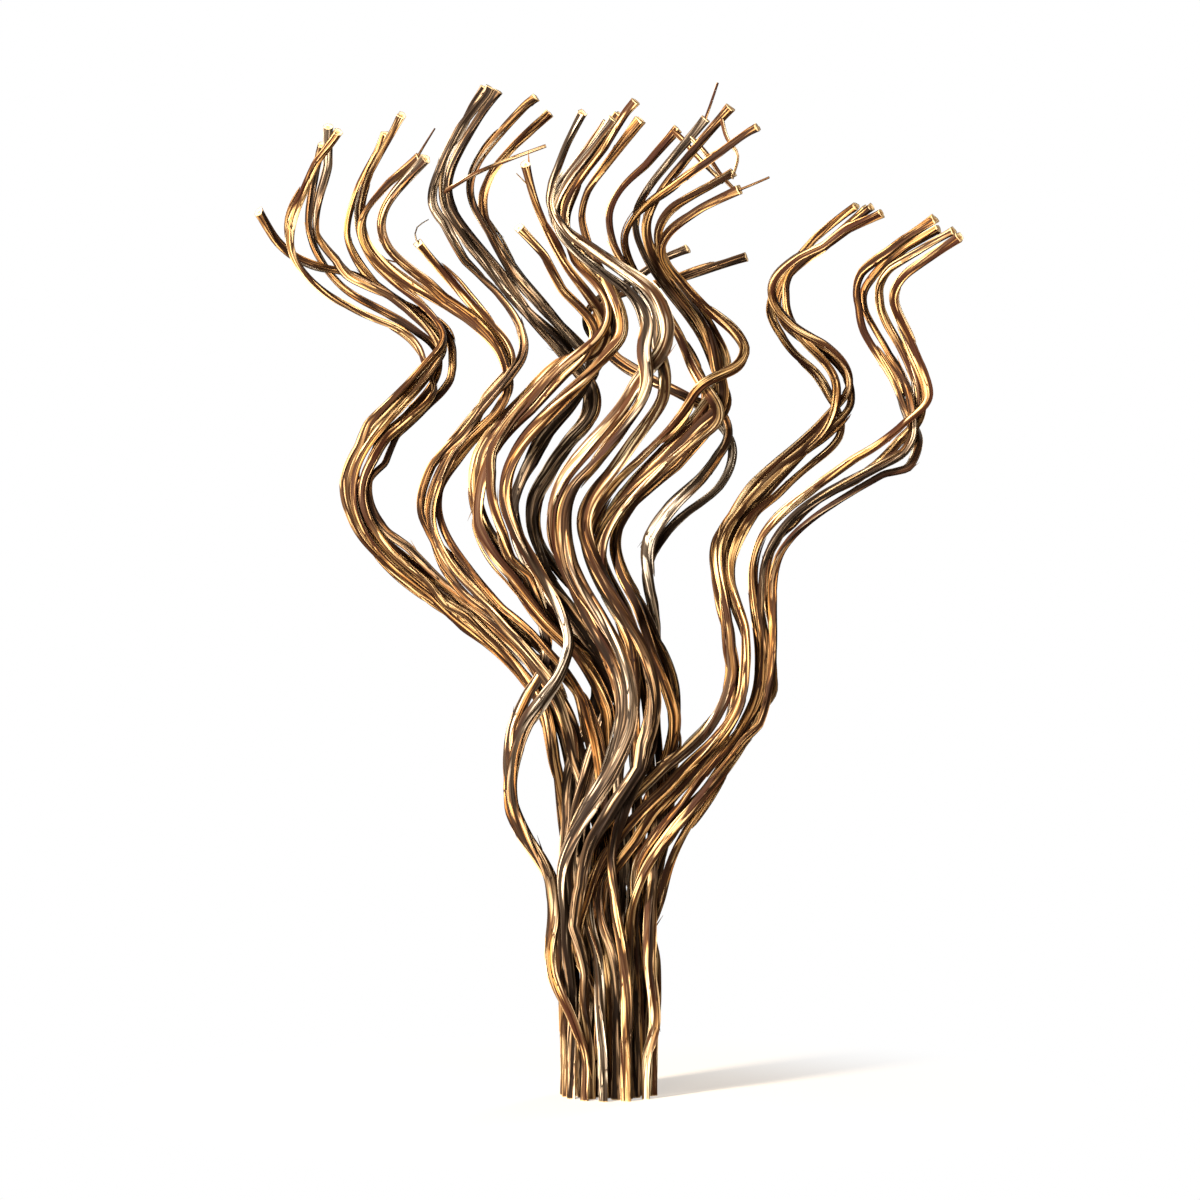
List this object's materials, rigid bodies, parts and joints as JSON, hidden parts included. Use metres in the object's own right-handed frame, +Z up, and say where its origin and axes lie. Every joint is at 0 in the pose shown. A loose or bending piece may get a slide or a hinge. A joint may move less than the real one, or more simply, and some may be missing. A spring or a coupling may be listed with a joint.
{
  "type": "curly coconut stick bunch",
  "caption": "Upright bunch of dried curly coconut sticks: wavy fluted stems in golden, brown and grey, packed tight at their sawn feet and fanned into a wide crown.",
  "frame": {"origin": "centre of the sawn foot of the middle stem, on the surface that the bunch stands on", "axes": "+Z up, the height of the bunch; +X to the right and +Y to the back, seen from the front; the crown is widest along X"},
  "size_m": [0.4128, 0.2282, 0.6006],
  "materials": {
    "golden_stem": "dry fibrous, satin on the ridges",
    "tan_stem": "dry fibrous, matte",
    "brown_stem": "dry fibrous, matte",
    "dark_stem": "dry weathered bark, matte",
    "grey_stem": "weathered silvery fibre, matte",
    "pale_stem": "bare split fibre, matte"
  },
  "bodies": {
    "root": {"stem_back_1": "dark_stem", "stem_dark_1": "dark_stem", "stem_dark_2": "dark_stem", "stem_dark_3": "grey_stem", "stem_dark_4": "grey_stem", "stem_far_left_1": "brown_stem", "stem_far_left_2": "brown_stem", "stem_far_left_3": "grey_stem", "stem_far_left_4": "tan_stem", "stem_far_left_5": "brown_stem", "stem_far_left_6": "tan_stem", "stem_front_1": "grey_stem", "stem_front_2": "grey_stem", "stem_front_3": "grey_stem", "stem_front_left_1": "tan_stem", "stem_front_left_2": "golden_stem", "stem_grey_arch": "grey_stem", "stem_inner_left_1": "brown_stem", "stem_inner_left_2": "golden_stem", "stem_inner_left_3": "grey_stem", "stem_inner_right_1": "brown_stem", "stem_inner_right_2": "grey_stem", "stem_inner_right_3": "golden_stem", "stem_inner_right_4": "tan_stem", "stem_left_1": "brown_stem", "stem_left_2": "grey_stem", "stem_left_3": "tan_stem", "stem_left_4": "grey_stem", "stem_outer_right_1": "brown_stem", "stem_outer_right_2": "tan_stem", "stem_outer_right_3": "golden_stem", "stem_outer_right_4": "brown_stem", "stem_right_centre_1": "dark_stem", "stem_right_centre_2": "brown_stem", "stem_right_centre_3": "golden_stem", "stem_right_centre_4": "pale_stem", "stem_right_centre_5": "golden_stem", "stem_right_centre_6": "brown_stem"}
  },
  "joints": []
}
